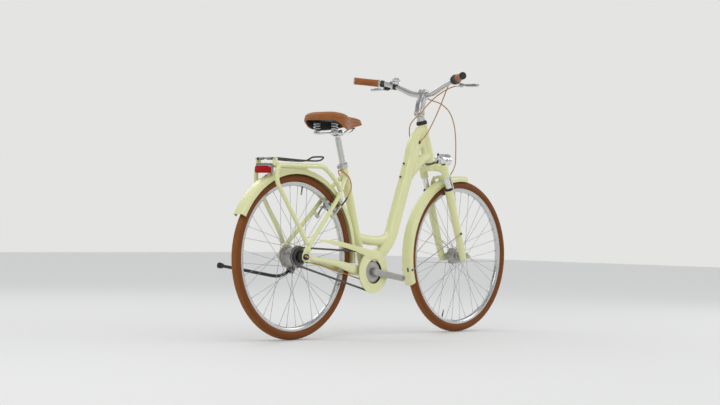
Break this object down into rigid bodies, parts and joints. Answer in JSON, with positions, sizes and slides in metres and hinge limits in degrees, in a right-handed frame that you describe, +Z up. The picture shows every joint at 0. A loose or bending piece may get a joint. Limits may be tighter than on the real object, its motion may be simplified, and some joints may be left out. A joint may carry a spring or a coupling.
{
  "type": "hybrid bike",
  "caption": "Step-through hybrid bike with suspension fork, rear rack, fenders, chain guard, hub gear, dynamo front hub and sprung saddle",
  "frame": {"origin": "On the ground, midway between the two axles, in the bike's middle plane", "axes": "+X runs forward along the bike, +Y to the rider's left, +Z up"},
  "size_m": [1.798, 0.6588, 1.162],
  "materials": {
    "paint": "gloss lime-cream paint",
    "silver": "satin",
    "chrome": "polished",
    "steel": "satin",
    "black_metal": "satin black",
    "black_plastic": "matt black",
    "dark_metal": "dark oxide",
    "tan_rubber": "matt tan",
    "tan_tyre": "matt tan",
    "tan_cover": "grained tan",
    "tan_cable": "smooth tan housing",
    "red_lens": "clear red",
    "clear_lens": "clear",
    "grey_plastic": "grey",
    "butyl": "matt black"
  },
  "bodies": {
    "frame": {"frame": "paint", "headset_upper": "black_plastic", "headset_lower": "dark_metal", "bottom_bracket": "dark_metal", "chain": "steel", "chain_guard": "paint", "rear_shift_unit": "black_plastic", "rear_axle": "silver", "rear_rack": "paint", "tail_light_body": "grey_plastic", "tail_light_lens": "red_lens", "rear_fender": "paint", "kickstand_mount": "black_metal", "seat_clamp": "silver", "rear_brake_cable": "tan_cable", "shift_cable": "tan_cable"},
    "cranks": {"crank_spindle": "steel", "crank_right": "silver", "crank_left": "silver"},
    "rear_sprocket": {"rear_sprocket": "dark_metal"},
    "rear_wheel": {"rear_hub": "silver", "rear_spokes": "steel", "rear_rim": "silver", "rear_tyre": "tan_tyre", "rear_inner_tube": "butyl"},
    "rack_clamp": {"rack_clamp": "black_metal"},
    "kickstand": {"kickstand_leg": "black_metal"},
    "seat": {"seatpost": "silver", "saddle_rails": "chrome", "saddle_spring_left": "chrome", "saddle_spring_right": "chrome", "saddle_base": "black_plastic", "saddle_cover": "tan_cover"},
    "rear_brake_left": {"rear_brake_left": "silver"},
    "rear_brake_right": {"rear_brake_right": "silver"},
    "steering": {"fork_crown": "paint", "stem": "silver", "handlebar": "silver", "grip_left": "tan_rubber", "grip_right": "tan_rubber", "lever_bracket_left": "black_metal", "lever_bracket_right": "silver", "bell": "chrome", "headlight_body": "chrome", "headlight_lens": "clear_lens", "front_brake_cable": "tan_cable"},
    "brake_lever_left": {"brake_lever_left": "silver"},
    "brake_lever_right": {"brake_lever_right": "silver"},
    "twist_shifter": {"twist_shifter": "black_plastic"},
    "bell_lever": {"bell_lever": "black_plastic"},
    "fork_lowers": {"fork_lowers": "paint", "front_fender": "paint", "front_axle": "steel"},
    "front_wheel": {"front_hub": "silver", "front_spokes": "steel", "front_rim": "silver", "front_tyre": "tan_tyre", "front_inner_tube": "butyl"},
    "front_brake_left": {"front_brake_left": "silver"},
    "front_brake_right": {"front_brake_right": "silver"}
  },
  "joints": [
    {"name": "steering_turn", "type": "hinge", "parent": "frame", "child": "steering", "pos_m": [0.341, 0, 0.77703], "axis": [-0.342, 0, 0.9397], "range_deg": [-60, 60], "deforming": ["rear_brake_cable", "shift_cable"]},
    {"name": "fork_travel", "type": "slide", "parent": "steering", "child": "fork_lowers", "axis": [-0.342, 0, 0.9397], "range_m": [0, 0.05], "stiffness_N_per_m": 9000, "springref_m": -0.012, "deforming": ["front_brake_cable"]},
    {"name": "front_wheel_spin", "type": "hinge", "parent": "fork_lowers", "child": "front_wheel", "pos_m": [0.55, 0, 0.349], "axis": [0, 1, 0], "continuous": true},
    {"name": "rear_wheel_spin", "type": "hinge", "parent": "frame", "child": "rear_wheel", "pos_m": [-0.55, 0, 0.349], "axis": [0, 1, 0], "continuous": true},
    {"name": "crank_spin", "type": "hinge", "parent": "frame", "child": "cranks", "pos_m": [-0.1, 0, 0.283], "axis": [0, 1, 0], "continuous": true},
    {"name": "sprocket_spin", "type": "hinge", "parent": "frame", "child": "rear_sprocket", "pos_m": [-0.55, 0, 0.349], "axis": [0, 1, 0], "continuous": true},
    {"name": "seat_height", "type": "slide", "parent": "frame", "child": "seat", "axis": [-0.3024, 0, 0.9532], "range_m": [-0.1, 0.06]},
    {"name": "kickstand_swing", "type": "hinge", "parent": "frame", "child": "kickstand", "pos_m": [-0.475, 0.09, 0.29], "axis": [0.2505, -0.9558, -0.1542], "range_deg": [0, 118]},
    {"name": "rack_clamp_lift", "type": "hinge", "parent": "frame", "child": "rack_clamp", "pos_m": [-0.722, 0, 0.753], "axis": [0, -1, 0], "range_deg": [0, 60], "stiffness_Nm_per_rad": 0.8, "springref_deg": -28.65},
    {"name": "lever_left_pull", "type": "hinge", "parent": "steering", "child": "brake_lever_left", "pos_m": [0.2805, 0.223, 1.116], "axis": [0.2194, 0.0303, 0.9752], "range_deg": [0, 28], "stiffness_Nm_per_rad": 0.5, "springref_deg": -28.65, "deforming": ["front_brake_cable"]},
    {"name": "lever_right_pull", "type": "hinge", "parent": "steering", "child": "brake_lever_right", "pos_m": [0.2805, -0.223, 1.116], "axis": [-0.2194, 0.0303, -0.9752], "range_deg": [0, 28], "stiffness_Nm_per_rad": 0.5, "springref_deg": -28.65, "deforming": ["rear_brake_cable"]},
    {"name": "shifter_twist", "type": "hinge", "parent": "steering", "child": "twist_shifter", "pos_m": [0.234, -0.221, 1.135], "axis": [-0.544, -0.8335, 0.0965], "range_deg": [0, 130]},
    {"name": "bell_strike", "type": "hinge", "parent": "steering", "child": "bell_lever", "pos_m": [0.2582, 0.1551, 1.1365], "axis": [-0.2285, 0.9289, 0.2915], "range_deg": [0, 12], "stiffness_Nm_per_rad": 0.03, "springref_deg": -17.19},
    {"name": "front_left_arm", "type": "hinge", "parent": "fork_lowers", "child": "front_brake_left", "pos_m": [0.46288, 0.044, 0.6176], "axis": [0.9397, 0, 0.342], "range_deg": [0, 2.8]},
    {"name": "front_right_arm", "type": "hinge", "parent": "fork_lowers", "child": "front_brake_right", "pos_m": [0.46288, -0.044, 0.6176], "axis": [-0.9397, 0, -0.342], "range_deg": [0, 2.8]},
    {"name": "rear_left_arm", "type": "hinge", "parent": "frame", "child": "rear_brake_left", "pos_m": [-0.35665, 0.044, 0.52122], "axis": [0.7262, 0, -0.6875], "range_deg": [0, 1.68]},
    {"name": "rear_right_arm", "type": "hinge", "parent": "frame", "child": "rear_brake_right", "pos_m": [-0.35665, -0.044, 0.52122], "axis": [-0.7262, 0, 0.6875], "range_deg": [0, 1.68]}
  ],
  "couplings": [
    {"joint": "sprocket_spin", "follows": "crank_spin", "ratio": 2.2105},
    {"joint": "front_left_arm", "follows": "lever_left_pull", "ratio": 0.1},
    {"joint": "front_right_arm", "follows": "lever_left_pull", "ratio": 0.1},
    {"joint": "rear_left_arm", "follows": "lever_right_pull", "ratio": 0.06},
    {"joint": "rear_right_arm", "follows": "lever_right_pull", "ratio": 0.06}
  ]
}
